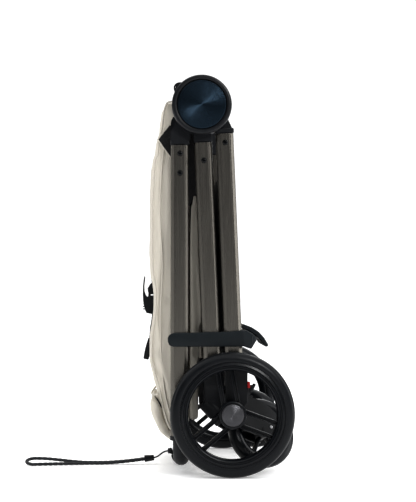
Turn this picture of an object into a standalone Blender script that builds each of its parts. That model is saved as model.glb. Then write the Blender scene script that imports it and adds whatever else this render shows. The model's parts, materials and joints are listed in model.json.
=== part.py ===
"""Folding pet stroller, folded flat and standing on its rear wheels and its handle grip.

Metres, +Z up. X runs across the stroller (left side at +X), +Y to its rear.
Lengths below are millimetres; every mesh is scaled to metres as it is placed.
"""
import math

import bmesh
import bpy
from mathutils import Matrix, Vector

# ---------------------------------------------------------------- driving dimensions (mm)
Y_MID = 90.5                    # moves the middle of the depth onto Y = 0
HUB = (59.6, 674.0)             # folding axis (y, z)
TUBE_X = (188.0, 208.0)         # every frame tube lies between these planes
TUBE_HALF, TUBE_FLAT = 16.5, 9.5
TUBE_THICK_HALF, TUBE_EDGE_HALF = 10.0, 4.6
TUBE_WALL = 1.7
LEG_OFFSET = 40.0               # handle and rear leg tubes stand this far from the folding axis
FRONT_TILT, REAR_TILT = 2.38, 2.32
HANDLE_TOP, FRONT_TOP, REAR_TOP = 72.0, 67.0, 52.0          # below the folding axis
HANDLE_END, FRONT_END, REAR_END = 610.0, 479.4, 475.0
AXLE_BAR_R, AXLE_HOLE_R = 8.0, 8.4
DISC_R, DISC_CLEAR_R = 40.0, 41.2
LAYER = {"handle": (201.6, 208.0), "front": (194.8, 201.2), "rear": (188.0, 194.4)}
RING_R, CAP_R, RING_X, CAP_FACE = 54.6, 45.0, (208.5, 232.5), 234.5
REAR_AXLE = (114.3, 112.5)
REAR_R, REAR_RIM_R, REAR_RIM_IN, REAR_MID, REAR_HALF_W = 112.5, 94.0, 80.0, 245.0, 18.0
CASTER_X, CASTER_KNUCKLE = 183.0, (82.6, 119.1)
CASTER_TILT, CASTER_TURN = 43.0, 33.0
CASTER_TRAIL, CASTER_DROP = 38.0, 95.0
FRONT_R, FRONT_RIM_R, FRONT_HALF_W = 64.0, 50.0, 13.0
LATCH_PIVOT = (116.9, 246.0)
GRIP_R = 15.5
SOFT_X, PANEL_X = 178.0, 170.0
GAP = 0.3

# ---------------------------------------------------------------- scene and helpers
for old in list(bpy.data.objects):
    bpy.data.objects.remove(old, do_unlink=True)

PARTS = bpy.data.collections.new("pet_stroller")
CUTTERS = bpy.data.collections.new("cutters")
for group in (PARTS, CUTTERS):
    bpy.context.scene.collection.children.link(group)
CUTTERS.hide_render = True

COLOURS = {
    "frame": ((0.075, 0.07, 0.062, 1), 0.38, 1.0),
    "black": ((0.012, 0.013, 0.015, 1), 0.45, 0.0),
    "cap": ((0.03, 0.045, 0.06, 1), 0.3, 1.0),
    "tyre": ((0.012, 0.012, 0.012, 1), 0.75, 0.0),
    "rim": ((0.018, 0.019, 0.021, 1), 0.4, 0.0),
    "grey": ((0.16, 0.16, 0.165, 1), 0.4, 1.0),
    "leather": ((0.014, 0.013, 0.012, 1), 0.6, 0.0),
    "fabric": ((0.56, 0.52, 0.44, 1), 0.9, 0.0),
    "mesh": ((0.02, 0.02, 0.02, 1), 0.9, 0.0),
    "cord": ((0.02, 0.02, 0.022, 1), 0.85, 0.0),
    "steel": ((0.35, 0.35, 0.35, 1), 0.3, 1.0),
}


def material(name, look):
    colour, roughness, metallic = COLOURS[look]
    made = bpy.data.materials.new("mat_" + name)
    made.use_nodes = True
    shader = made.node_tree.nodes["Principled BSDF"]
    shader.inputs["Base Color"].default_value = colour
    shader.inputs["Roughness"].default_value = roughness
    shader.inputs["Metallic"].default_value = metallic
    return made


def rounded(points, radius, steps=2):
    """The outline with each corner turned into a short arc."""
    out, n = [], len(points)
    for i, here in enumerate(points):
        here = Vector(here)
        before = (Vector(points[i - 1]) - here)
        after = (Vector(points[(i + 1) % n]) - here)
        reach = min(radius, 0.45 * before.length, 0.45 * after.length)
        a, b = here + before.normalized() * reach, here + after.normalized() * reach
        for k in range(steps + 1):
            t = k / steps
            out.append(tuple((1 - t) ** 2 * a + 2 * t * (1 - t) * here + t * t * b))
    return out


def prism(outline, low, high, along="x"):
    """An outline in (y, z), or in (x, z) when it runs along y, drawn out from low to high."""
    bm = bmesh.new()
    if along == "x":
        verts = [bm.verts.new((low, p[0], p[1])) for p in outline]
        move = Vector((high - low, 0, 0))
    else:
        verts = [bm.verts.new((p[0], low, p[1])) for p in outline]
        move = Vector((0, high - low, 0))
    face = bm.faces.new(verts)
    grown = bmesh.ops.extrude_face_region(bm, geom=[face])
    bmesh.ops.translate(bm, vec=move, verts=[g for g in grown["geom"] if isinstance(g, bmesh.types.BMVert)])
    bmesh.ops.recalc_face_normals(bm, faces=bm.faces[:])
    return bm


def softened(bm, width, segments=1, angle=0.6):
    """Rounds the edges that turn more than the given angle."""
    edges = [e for e in bm.edges if len(e.link_faces) == 2 and e.calc_face_angle(0.0) > angle]
    bmesh.ops.bevel(bm, geom=edges, offset=width, segments=segments, profile=0.5, affect="EDGES",
                    clamp_overlap=True)
    bmesh.ops.recalc_face_normals(bm, faces=bm.faces[:])
    return bm


def box(x0, x1, y0, y1, z0, z1, soft=0.0, segments=1):
    bm = prism([(y0, z0), (y1, z0), (y1, z1), (y0, z1)], x0, x1)
    return softened(bm, soft, segments) if soft else bm


def cylinder(y, z, radius, x0, x1, segments=24):
    bm = bmesh.new()
    turn = Matrix.Translation(((x0 + x1) / 2, y, z)) @ Matrix.Rotation(math.pi / 2, 4, "Y")
    bmesh.ops.create_cone(bm, cap_ends=True, segments=segments, radius1=radius, radius2=radius,
                          depth=x1 - x0, matrix=turn)
    bmesh.ops.recalc_face_normals(bm, faces=bm.faces[:])
    return bm


def turned(profile, y, z, segments=48, ring=False):
    """A profile of (x, radius) points turned about the line along X through (y, z)."""
    bm = bmesh.new()
    verts = [bm.verts.new((x, y + r, z)) for x, r in profile]
    edges = [bm.edges.new(pair) for pair in zip(verts, verts[1:])]
    if ring:
        edges.append(bm.edges.new((verts[-1], verts[0])))
    bmesh.ops.spin(bm, geom=verts + edges, cent=(0, y, z), axis=(1, 0, 0), angle=2 * math.pi,
                   steps=segments, use_merge=True)
    bmesh.ops.remove_doubles(bm, verts=bm.verts[:], dist=1e-4)
    bmesh.ops.recalc_face_normals(bm, faces=bm.faces[:])
    return bm


def placed(bm, matrix):
    bmesh.ops.transform(bm, matrix=matrix, verts=bm.verts[:])
    return bm


def link(data, name, group):
    obj = bpy.data.objects.new(name, data)
    group.objects.link(obj)
    return obj


def emit(bm, name, group, side=1):
    """A mesh object in metres from a mesh drawn for the left side; side -1 mirrors it."""
    place = Matrix.Scale(0.001, 4) @ Matrix.Translation((0, -Y_MID, 0)) @ Matrix.Diagonal((side, 1, 1, 1))
    bmesh.ops.transform(bm, matrix=place, verts=bm.verts[:])
    if side < 0:
        bmesh.ops.reverse_faces(bm, faces=bm.faces[:])
    data = bpy.data.meshes.new(name)
    bm.to_mesh(data)
    bm.free()
    return link(data, name, group)


def node(name, look, base, side=1, adds=(), cuts=()):
    obj = emit(base, name, PARTS, side)
    obj.data.materials.append(material(name, look))
    for operation, tools in (("UNION", adds), ("DIFFERENCE", cuts)):
        for i, tool in enumerate(tools):
            helper = emit(tool, f"{operation.lower()}_{name}_{i}", CUTTERS, side)
            helper.display_type = "WIRE"
            helper.hide_render = True
            mod = obj.modifiers.new(operation.title() + str(i), "BOOLEAN")
            mod.operation, mod.solver, mod.object = operation, "EXACT", helper
    return obj


def cord(name, look, points, radius, sides=2):
    """A round cord or bar along points, closed at both ends."""
    data = bpy.data.curves.new(name, "CURVE")
    data.dimensions = "3D"
    spline = data.splines.new("POLY")
    spline.points.add(len(points) - 1)
    for point, (x, y, z) in zip(spline.points, points):
        point.co = (x / 1000, (y - Y_MID) / 1000, z / 1000, 1)
    data.bevel_depth = radius / 1000
    data.bevel_resolution = sides
    data.use_fill_caps = True
    data.materials.append(material(name, look))
    return link(data, name, PARTS)


SIDES = (("left", 1), ("right", -1))
TO_HUB = Matrix.Translation((0, HUB[0], HUB[1]))


def leg_frame(tilt):
    """From the frame of a tube that hangs straight below the folding axis to the folded frame."""
    return TO_HUB @ Matrix.Rotation(math.radians(tilt), 4, "X")


def tube_outline(grow=0.0):
    """The tube's section about its own axis, in (y, x)."""
    h, f, t, e = TUBE_HALF + grow, TUBE_FLAT + grow * 0.5, TUBE_THICK_HALF + grow, TUBE_EDGE_HALF + grow * 0.4
    return rounded([(-h, -e), (-h, e), (-f, t), (f, t), (h, e), (h, -e), (f, -t), (-f, -t)], 1.6)


def upright(outline, y_mid, z0, z1):
    """A section in (y, x) drawn from z0 to z1 about a tube's centre line."""
    bm = bmesh.new()
    x_mid = sum(TUBE_X) / 2
    face = bm.faces.new([bm.verts.new((x_mid + b, y_mid + a, z0)) for a, b in outline])
    grown = bmesh.ops.extrude_face_region(bm, geom=[face])
    bmesh.ops.translate(bm, vec=(0, 0, z1 - z0),
                        verts=[g for g in grown["geom"] if isinstance(g, bmesh.types.BMVert)])
    bmesh.ops.recalc_face_normals(bm, faces=bm.faces[:])
    return bm


def hollow_tube(y_mid, z0, z1):
    """Section loops joined inside, outside and round both ends: one open tube."""
    bm = bmesh.new()
    x_mid = sum(TUBE_X) / 2
    rings = []
    for grow in (0.0, -TUBE_WALL):
        for z in (z0, z1):
            rings.append([bm.verts.new((x_mid + b, y_mid + a, z)) for a, b in tube_outline(grow)])
    for one, two in ((0, 1), (2, 3), (0, 2), (1, 3)):
        n = len(rings[one])
        for i in range(n):
            j = (i + 1) % n
            bm.faces.new((rings[one][i], rings[one][j], rings[two][j], rings[two][i]))
    bmesh.ops.recalc_face_normals(bm, faces=bm.faces[:])
    return bm


# ---------------------------------------------------------------- frame tubes and folding knuckles
def knuckle(name, look, frame, side, y_mid, layer, top, layer_from, wide_from, outline):
    """A disc in its own layer round the folding axis, an arm down to the tube, and a plug inside the tube."""
    x0, x1 = LAYER[layer]
    half = TUBE_HALF + 0.9
    disc = cylinder(0, 0, DISC_R, x0, x1, 40)
    in_layer = prism(rounded(outline, 4.0), x0, x1)
    block = softened(box(TUBE_X[0], TUBE_X[1], y_mid - half, y_mid + half, -top + GAP, -wide_from), 2.0)
    plug = upright(tube_outline(-TUBE_WALL - GAP), y_mid, -top - 24, -top + 3)
    for shape in (disc, in_layer, block, plug):
        placed(shape, frame)
    hole = placed(cylinder(0, 0, AXLE_HOLE_R, x0 - 2, x1 + 2, 24), frame)
    node(name, look, disc, side, adds=(in_layer, block, plug), cuts=(hole,))


for tag, side in SIDES:
    upper, front, rear = leg_frame(0.0), leg_frame(FRONT_TILT), leg_frame(REAR_TILT)
    node("handle_tube_" + tag, "frame",
         placed(hollow_tube(-LEG_OFFSET, -HANDLE_END, -HANDLE_TOP), upper), side)
    node("front_leg_" + tag, "frame", placed(hollow_tube(0, -FRONT_END, -FRONT_TOP), front), side)
    node("rear_leg_" + tag, "frame", placed(hollow_tube(LEG_OFFSET, -REAR_END, -REAR_TOP), rear), side)
    h = TUBE_HALF + 0.9
    knuckle("handle_knuckle_" + tag, "black", upper, side, -LEG_OFFSET, "handle", HANDLE_TOP, 41, 54,
            [(-LEG_OFFSET - h, -66), (-LEG_OFFSET + h, -66), (-LEG_OFFSET + h + 4, -30), (-20, 10),
             (-37, 2), (-LEG_OFFSET - h + 4, -42), (-LEG_OFFSET - h, -48)])
    knuckle("front_knuckle_" + tag, "black", front, side, 0, "front", FRONT_TOP, 0, 49,
            [(-h, -62), (h, -62), (h + 2, -20), (-h - 2, -20)])
    knuckle("rear_knuckle_" + tag, "black", rear, side, LEG_OFFSET, "rear", REAR_TOP, 36, 42,
            [(LEG_OFFSET - h, -48), (LEG_OFFSET + h, -48), (LEG_OFFSET + h - 3, -40), (37, 2),
             (20, 10), (LEG_OFFSET - h - 4, -30)])

# ---------------------------------------------------------------- hub: covers, caps, cross bar, release buttons
node("hub_axle_bar", "steel", cylinder(HUB[0], HUB[1], AXLE_BAR_R, -214.0, 214.0, 32))
BUTTON = (HUB[0] - 42.5, HUB[1] + 37.5)
for tag, side in SIDES:
    a, b = RING_X
    cup = turned([(a, 0), (a, RING_R - 1.5), (a + 1.5, RING_R), (b - 3, RING_R), (b - 0.8, RING_R - 1.0),
                  (b, RING_R - 3.2), (b, CAP_R + 2.6), (b - 1.2, CAP_R + 0.6), (b - 7, CAP_R + 0.4),
                  (b - 7, 0)], HUB[0], HUB[1], 48)
    bore = cylinder(HUB[0], HUB[1], AXLE_BAR_R + GAP, a - 2, 215.0, 32)
    node("hub_ring_" + tag, "black", cup, side, cuts=(bore,))
    cap = turned([(b - 6.7, 0), (b - 6.7, CAP_R - 0.6), (b - 0.6, CAP_R - 0.6), (b + 0.6, CAP_R - 2.2),
                  (CAP_FACE - 0.2, 12.0), (CAP_FACE, 0)], HUB[0], HUB[1], 48)
    node("hub_cap_" + tag, "cap", cap, side)
    y, z = HUB
    plate = prism(rounded([(y - 56.5, z - 58), (y - 22, z - 58), (y - 22, z - 46), (y - 8, z - 47),
                           (y + 14, z - 45), (y + 34, z - 32), (y + 46, z - 10), (y + 45, z + 16),
                           (y + 32, z + 36), (y + 8, z + 47), (y - 14, z + 45), (y - 34, z + 47),
                           (y - 46, z + 46), (y - 52, z + 39), (y - 50, z + 30), (y - 46, z + 20),
                           (y - 45, z - 10), (y - 56.5, z - 24)], 6.0, 2), 180.0, 187.6)
    holes = (cylinder(y, z, AXLE_HOLE_R, 178, 190, 32),
             cylinder(BUTTON[0], BUTTON[1], 5.6, 178, 190, 28))
    node("hub_inner_cover_" + tag, "black", plate, side, cuts=holes)
    knob = turned([(177.0, 0), (177.0, 5.2), (186.6, 5.2), (187.5, 4.4), (187.6, 0)],
                  BUTTON[0], BUTTON[1], 28)
    node("fold_release_" + tag, "black", knob, side)

# ---------------------------------------------------------------- rear frame: housings, cross tube, wheels, brakes
BRAKE_PIVOT = (134.5, 140.0)
for tag, side in SIDES:
    rear = leg_frame(REAR_TILT)
    top = rear @ Vector((0, LEG_OFFSET, -REAR_END))
    y, z = REAR_AXLE
    blade = softened(prism(rounded([(top.y - 17.2, 206), (top.y - 15.5, 150), (y - 15, z + 2),
                                    (y - 13, z - 10), (y - 6, z - 16.5), (y + 6, z - 16.5), (y + 14, z - 9),
                                    (y + 19, z + 8), (142.8, 132), (142.8, 190), (top.y + 17.2, 206)], 4.0, 3),
                           209.0, 222.0), 2.0)
    step = softened(prism([(top.y - 17.2, 160), (top.y + 17.2, 160), (top.y + 17.4, top.z - 1.1),
                           (top.y - 17.4, top.z - 1.1)], TUBE_X[0], 216.0), 2.0)
    plug = placed(upright(tube_outline(-TUBE_WALL - GAP), LEG_OFFSET, -REAR_END - 4, -REAR_END + 26), rear)
    boss = turned([(220, 0), (220, 15), (225.2, 13.4), (225.2, 6.0), (262.0, 6.0), (262.0, 0)], y, z, 32)
    notch = box(211.6, 219.4, BRAKE_PIVOT[0] - 7.5, 150, BRAKE_PIVOT[1] - 7.5, BRAKE_PIVOT[1] + 23)
    node("rear_housing_" + tag, "black", blade, side, adds=(step, plug, boss), cuts=(notch,))
    arm = prism(rounded([(-5, -5), (3, -6), (14, 8), (20, 22), (15, 25), (-5, 6)], 2.5, 2), 212.0, 219.0)
    pad = softened(prism(rounded([(11, 12), (15.5, 9.5), (24, 25), (19.5, 27.5)], 1.6, 2), 208.0, 222.0), 1.0, 1)
    for shape in (arm, pad):
        placed(shape, Matrix.Translation((0, BRAKE_PIVOT[0], BRAKE_PIVOT[1])))
    node("brake_pedal_" + tag, "grey", arm, side, adds=(pad,))

    m, w = REAR_MID, REAR_HALF_W
    tyre = turned([(m - w + 2, REAR_RIM_R + 0.3), (m - w, REAR_RIM_R + 4), (m - w + 0.6, REAR_R - 9),
                   (m - w + 4.5, REAR_R - 3.2), (m - 9, REAR_R - 0.4), (m, REAR_R), (m + 9, REAR_R - 0.4),
                   (m + w - 4.5, REAR_R - 3.2), (m + w - 0.6, REAR_R - 9), (m + w, REAR_RIM_R + 4),
                   (m + w - 2, REAR_RIM_R + 0.3)], y, z, 48, ring=True)
    node("rear_tyre_" + tag, "tyre", tyre, side)
    rim = turned([(m - w + 2.6, REAR_RIM_R), (m - w + 2.0, REAR_RIM_R - 3), (m - w + 5, REAR_RIM_IN + 3),
                  (m - w + 9, REAR_RIM_IN), (m + w - 9, REAR_RIM_IN), (m + w - 4, REAR_RIM_IN + 2),
                  (m + w - 1.2, REAR_RIM_IN + 7), (m + w - 2.6, REAR_RIM_R)], y, z, 48, ring=True)
    boss = turned([(226.0, 0), (226.0, 15), (234, 22), (252, 25), (258.5, 25), (259.5, 23.5),
                   (259.5, 20.8), (257.5, 20.8), (257.5, 0)], y, z, 36)
    bars = []
    for turn in (100, 220, 340):
        for shift in (-13.0, 13.0):
            bar = box(243.0, 257.0, 12.0, REAR_RIM_IN + 4, shift - 4.5, shift + 4.5)
            spin = Matrix.Translation((0, y, z)) @ Matrix.Rotation(math.radians(turn), 4, "X")
            bars.append(placed(bar, spin))
    shaft = cylinder(y, z, 6.4, 224, 258.6, 32)
    node("rear_rim_" + tag, "rim", rim, side, adds=(boss, *bars), cuts=(shaft,))
    cap = turned([(262.3, 0), (262.3, 6.6), (257.9, 6.6),
                 (257.9, 20.3), (262.6, 20.3), (263.8, 19.0), (264.3, 8.0), (264.4, 0)], y, z, 36)
    node("rear_cap_" + tag, "grey", cap, side)

rear = leg_frame(REAR_TILT)
node("rear_cross_tube", "black", placed(cylinder(LEG_OFFSET + 1, -500.0, 9.0, -187.6, 187.6, 28), rear))

# ---------------------------------------------------------------- front frame: swivel housings, casters
CASTER = (Matrix.Translation((CASTER_X, CASTER_KNUCKLE[0], CASTER_KNUCKLE[1]))
          @ Matrix.Rotation(math.radians(CASTER_TILT), 4, "X"))
CASTER_TURNED = CASTER @ Matrix.Rotation(math.radians(CASTER_TURN), 4, "Z")


def standing(radius, z0, z1, segments=36):
    """A cylinder on the caster's swivel axis."""
    bm = bmesh.new()
    bmesh.ops.create_cone(bm, cap_ends=True, segments=segments, radius1=radius, radius2=radius,
                          depth=z1 - z0, matrix=Matrix.Translation((0, 0, (z0 + z1) / 2)))
    bmesh.ops.recalc_face_normals(bm, faces=bm.faces[:])
    return bm


for tag, side in SIDES:
    front = leg_frame(FRONT_TILT)
    block = softened(prism(rounded([(187.6, -479.7), (208, -479.7), (208, -516), (201, -543), (199, -557),
                                    (166, -557), (165, -538), (187, -508)], 4.0, 1), -17.0, 17.0, "y"), 2.0)
    plug = upright(tube_outline(-TUBE_WALL - GAP), 0, -FRONT_END - 4, -FRONT_END + 26)
    for shape in (block, plug):
        placed(shape, front)
    barrel = placed(softened(standing(18.5, -11.0, 22.0, 28), 1.6), CASTER)
    bore = placed(standing(7.4, -20.0, 12.5, 20), CASTER)
    node("swivel_housing_" + tag, "black", block, side, adds=(plug, barrel), cuts=(bore,))

    crown = softened(standing(19.4, -28.0, -12.2, 28), 1.4)
    stem = standing(7.0, -14.0, 11.0, 20)
    t, d = CASTER_TRAIL, -CASTER_DROP
    side_outline = rounded([(-13, -15), (30, -15), (58, -25), (73, -48), (80, -76), (78, -98), (66, -110),
                            (46, -112), (28, -107), (20, -94), (-6, -40)], 9.0, 2)
    plates = [prism(side_outline, x0, x1) for x0, x1 in ((15.2, 19.4), (-19.4, -15.2))]
    arc = [math.radians(v) for v in range(62, 113, 6)]
    fender = prism([(t + 70.5 * math.cos(v), d + 70.5 * math.sin(v)) for v in arc]
                   + [(t + 66.6 * math.cos(v), d + 66.6 * math.sin(v)) for v in reversed(arc)], -16.0, 16.0)
    axle = cylinder(t, d, 3.0, -20.6, 20.6, 16)
    heads = [cylinder(t, d, 6.0, x0, x1, 16) for x0, x1 in ((19.0, 21.2), (-21.2, -19.0))]
    for shape in (crown, stem, *plates, fender, axle, *heads):
        placed(shape, CASTER_TURNED)
    node("caster_fork_" + tag, "black", crown, side, adds=(stem, *plates, fender, axle, *heads))

    w = FRONT_HALF_W
    tyre = turned([(-w + 1.5, FRONT_RIM_R + 0.3), (-w, FRONT_RIM_R + 3), (-w + 1, FRONT_R - 5), (-w + 5, FRONT_R - 1),
                   (0, FRONT_R), (w - 5, FRONT_R - 1), (w - 1, FRONT_R - 5), (w, FRONT_RIM_R + 3),
                   (w - 1.5, FRONT_RIM_R + 0.3)], t, d, 32, ring=True)
    node("front_tyre_" + tag, "tyre", placed(tyre, CASTER_TURNED), side)
    rim = turned([(-w + 2, FRONT_RIM_R), (-w + 3, FRONT_RIM_R - 7), (-w + 8, FRONT_RIM_R - 10),
                  (w - 8, FRONT_RIM_R - 10), (w - 3, FRONT_RIM_R - 7), (w - 2, FRONT_RIM_R)], t, d, 32, ring=True)
    boss = turned([(-w, 0), (-w, 8), (-w + 4, 12), (w - 4, 12), (w, 8), (w, 0)], t, d, 24)
    bars = []
    for k in range(5):
        bar = box(-4.5, 4.5, 8.0, FRONT_RIM_R - 8, -4.0, 4.0)
        bars.append(placed(bar, Matrix.Translation((0, t, d)) @ Matrix.Rotation(math.radians(72 * k + 20), 4, "X")))
    shaft = cylinder(t, d, 3.3, -w - 2, w + 2, 16)
    for shape in (rim, boss, *bars, shaft):
        placed(shape, CASTER_TURNED)
    node("front_rim_" + tag, "rim", rim, side, adds=(boss, *bars), cuts=(shaft,))

node("front_cross_tube", "black", placed(cylinder(0, -455.0, 9.0, -187.6, 187.6, 28), leg_frame(FRONT_TILT)))

# ---------------------------------------------------------------- handle grip and its wrist strap
GRIP_TOP, CORNER_R = HUB[1] - HANDLE_END - GAP, 36.0
HANDLE_Y, HANDLE_X = HUB[0] - LEG_OFFSET, 198.0
SPAN = HANDLE_X - CORNER_R
right_half = [(HANDLE_X, GRIP_TOP), (HANDLE_X, GRIP_TOP - 2.5)]
for k in range(1, 9):
    a = math.radians(90 * k / 8)
    right_half.append((SPAN + CORNER_R * math.cos(a), 61.4 - (61.4 - 28.0) * math.sin(a)))
for k in range(1, 9):
    x = SPAN * (1 - k / 8)
    right_half.append((x, GRIP_R + 6.25 * (1 - math.cos(math.pi * x / SPAN))))
whole = right_half + [(-x, z) for x, z in reversed(right_half[:-1])]
cord("grip", "leather", [(x, HANDLE_Y, z) for x, z in whole], GRIP_R, 3)

KNOT = (37.0, -2.2, 24.4)
FERRULE_TAIL, FERRULE_NOSE = (37.0, -29.6, 10.6), (37.0, -39.5, 6.6)
knot = bmesh.new()
bmesh.ops.create_icosphere(knot, subdivisions=2, radius=5.6, matrix=Matrix.Translation(KNOT))
node("strap_knot", "cord", knot)
cord("strap_cord", "cord", [(37.0, -8.2, 22.4), (37.3, -13.0, 19.2), (36.8, -19.0, 15.6), (37.0, -28.9, 10.95)],
     1.5, 1)
aim = (Vector(FERRULE_NOSE) - Vector(FERRULE_TAIL))
turn = Matrix.Translation((Vector(FERRULE_NOSE) + Vector(FERRULE_TAIL)) / 2) @ aim.to_track_quat("Z", "Y").to_matrix().to_4x4()
sleeve = bmesh.new()
bmesh.ops.create_cone(sleeve, cap_ends=True, segments=24, radius1=4.2, radius2=5.8, depth=aim.length, matrix=turn)
bmesh.ops.recalc_face_normals(sleeve, faces=sleeve.faces[:])
node("strap_ferrule", "black", sleeve)
LOOP_R, LOOP_END = 3.25, -277.0
out_way, back_way = [], []
for k in range(15):
    t = k / 14
    y = -43.6 + (LOOP_END + LOOP_R + 16.0 + 43.6) * t
    wave = 2.2 * math.sin(6.0 * t) * t
    half = 3.7 + 12.3 * t ** 1.6
    lift = max(0.0, 1 - 6 * t) * 1.6
    out_way.append((37 + wave + half, y, LOOP_R + 0.25 + lift))
    back_way.append((37 + wave - half, y, LOOP_R + 0.25 + lift))
turn_mid = (out_way[-1][0] + back_way[-1][0]) / 2
bend = [(turn_mid + 16.0 * math.cos(a), out_way[-1][1] - 16.0 * math.sin(a), LOOP_R + 0.25)
        for a in (math.radians(v) for v in range(15, 180, 15))]
cord("strap_loop", "cord", out_way + bend + back_way[::-1], LOOP_R, 2)

# ---------------------------------------------------------------- latch bail that holds the folded tubes together
py, pz = LATCH_PIVOT
for tag, side in SIDES:
    arm = softened(prism(rounded([(-2.5, 235.5), (1.5, 233.2), (py + 12, 233.6), (153.0, 238.2), (153.0, 253.8),
                                  (py + 14, 258.4), (1.5, 258.0), (-2.5, 255.5)], 4.5, 3), 211.5, 219.0), 1.5)
    stud = cylinder(py, pz, 6.0, 208.4, 213.0, 28)
    node("latch_arm_" + tag, "black", arm, side, adds=(stud,))
bar = softened(prism(rounded([(141.2, 238.4), (152.8, 238.4), (152.8, 253.6), (141.2, 253.6)], 3.0, 2),
                     -211.2, 211.2), 0.8, 1)
lever = softened(prism(rounded([(139.5, 270.5), (143.5, 271.5), (158, 266), (172, 257), (182, 246), (190.5, 231.5),
                                (187.5, 228.0), (183, 229.5), (175, 241), (165, 251.0), (152, 259.5),
                                (139.5, 264.0)], 2.5, 2), -90.0, 90.0), 1.5)
web = prism([(144, 249), (157, 246), (168, 247), (160, 258), (149, 262)], -84.0, 84.0)
node("latch_bar", "black", bar, adds=(web, lever))

# ---------------------------------------------------------------- soft goods, folded flat between the tubes
panel = softened(prism(rounded([(-2, 692), (-9, 676), (-11, 654), (-13, 632), (-20, 620), (-23.5, 598), (-27.5, 577),
                                (-29.5, 521), (-31, 488), (-32.5, 330), (-32.5, 200), (-26, 178), (-19.5, 157),
                                (-13, 128), (-6, 100), (4, 76), (14, 66), (30, 66), (35.5, 76), (35.5, 630),
                                (28, 678), (14, 693)], 5.0, 1), -PANEL_X, PANEL_X), 6.0)
node("seat_back_panel", "fabric", panel)
pocket = softened(prism(rounded([(-33.5, 147), (-32, 128), (-26, 104), (-17, 84), (-4, 66), (8, 57), (12, 60),
                                 (1.2, 76), (-9, 99), (-16.2, 127.5), (-20.5, 148)], 2.0, 1), -140.0, 140.0), 2.0, 1)
node("storage_pocket", "fabric", pocket)
bellows = softened(prism([(38.5, 96), (55, 96), (53.0, 300), (41.5, 640), (38.5, 640)], -SOFT_X, SOFT_X), 1.2, 1)
node("side_bellows", "fabric", bellows)
board = softened(box(-SOFT_X, SOFT_X, -13.0, 16.0, -438.0, -60.0), 6.0, 2)
node("front_panel", "fabric", placed(board, leg_frame(FRONT_TILT)))
basket = softened(prism(rounded([(24, -486), (50, -486), (54.5, -440), (54.5, -350), (50, -250), (48, -125), (24, -125)],
                                6.0, 1), -SOFT_X, SOFT_X), 5.0)
node("storage_basket", "mesh", placed(basket, leg_frame(REAR_TILT)))

# ---------------------------------------------------------------- buckle and zip pull on the front of the folded pack
socket = softened(box(-15.0, 15.0, -44.5, -34.5, 290.0, 328.0), 2.0, 2)
mouth = box(-10.6, 10.6, -41.8, -37.2, 300.0, 332.0)
node("buckle_socket", "black", socket, cuts=(mouth,))
head = softened(box(-15.0, 15.0, -44.5, -34.5, 328.4, 345.0), 2.0, 2)
tongue = box(-10.0, 10.0, -41.4, -37.6, 304.0, 332.0)
strap = prism([(-40.5, 343), (-38.5, 343), (-38.5, 352), (-45.5, 361), (-49.5, 350), (-50.6, 338), (-49.0, 338),
               (-47.8, 350), (-45.2, 357.5), (-40.5, 351)], -12.0, 12.0)
node("buckle_plug", "black", head, adds=(tongue, strap))
pull = softened(prism(rounded([(-44.2, 243), (-39.2, 244), (-37.6, 222), (-38.2, 204), (-44.2, 202), (-46.6, 222)], 2.0, 2),
                      21.0, 31.0), 1.2, 1)
strands = [prism([(-36.0, 280.5), (-34.2, 280.5), (-40.2, 241), (-42.4, 241)], x0, x0 + 1.8) for x0 in (22.8, 27.4)]
ring_top = box(22.8, 29.2, -36.2, -34.2, 278.6, 281.4)
node("zip_pull", "black", pull, adds=(*strands, ring_top))
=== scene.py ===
"""Folded pet stroller: fabric, wheels, hubs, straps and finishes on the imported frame."""
import json
import math

import bmesh
import bpy
from mathutils import Matrix, Vector, noise
from mathutils.bvhtree import BVHTree


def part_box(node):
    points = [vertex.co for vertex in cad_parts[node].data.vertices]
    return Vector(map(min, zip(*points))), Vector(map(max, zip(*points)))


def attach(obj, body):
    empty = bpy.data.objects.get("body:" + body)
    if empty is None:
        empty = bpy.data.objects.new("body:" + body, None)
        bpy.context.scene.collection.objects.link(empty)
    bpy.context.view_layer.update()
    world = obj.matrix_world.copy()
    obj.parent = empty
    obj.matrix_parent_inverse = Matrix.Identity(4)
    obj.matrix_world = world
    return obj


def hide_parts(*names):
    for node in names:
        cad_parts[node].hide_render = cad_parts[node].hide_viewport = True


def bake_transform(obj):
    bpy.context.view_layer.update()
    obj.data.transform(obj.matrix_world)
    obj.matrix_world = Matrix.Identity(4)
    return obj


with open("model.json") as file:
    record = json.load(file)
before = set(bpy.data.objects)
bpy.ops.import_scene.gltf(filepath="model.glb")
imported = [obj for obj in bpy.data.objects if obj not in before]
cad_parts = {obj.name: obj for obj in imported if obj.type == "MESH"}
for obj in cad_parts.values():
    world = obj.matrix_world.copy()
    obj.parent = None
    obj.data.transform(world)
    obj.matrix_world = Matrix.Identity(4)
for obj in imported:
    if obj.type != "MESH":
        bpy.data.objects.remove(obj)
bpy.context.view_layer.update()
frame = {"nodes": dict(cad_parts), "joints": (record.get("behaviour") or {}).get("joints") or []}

bl_info = {
    "name": "Folding pet stroller",
    "version": (1, 0, 0),
    "blender": (4, 5, 0),
    "location": "3D View > Sidebar > Stroller",
    "description": "Builds the looks of a folded pet stroller on its packed frame",
    "category": "Object",
}

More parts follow.
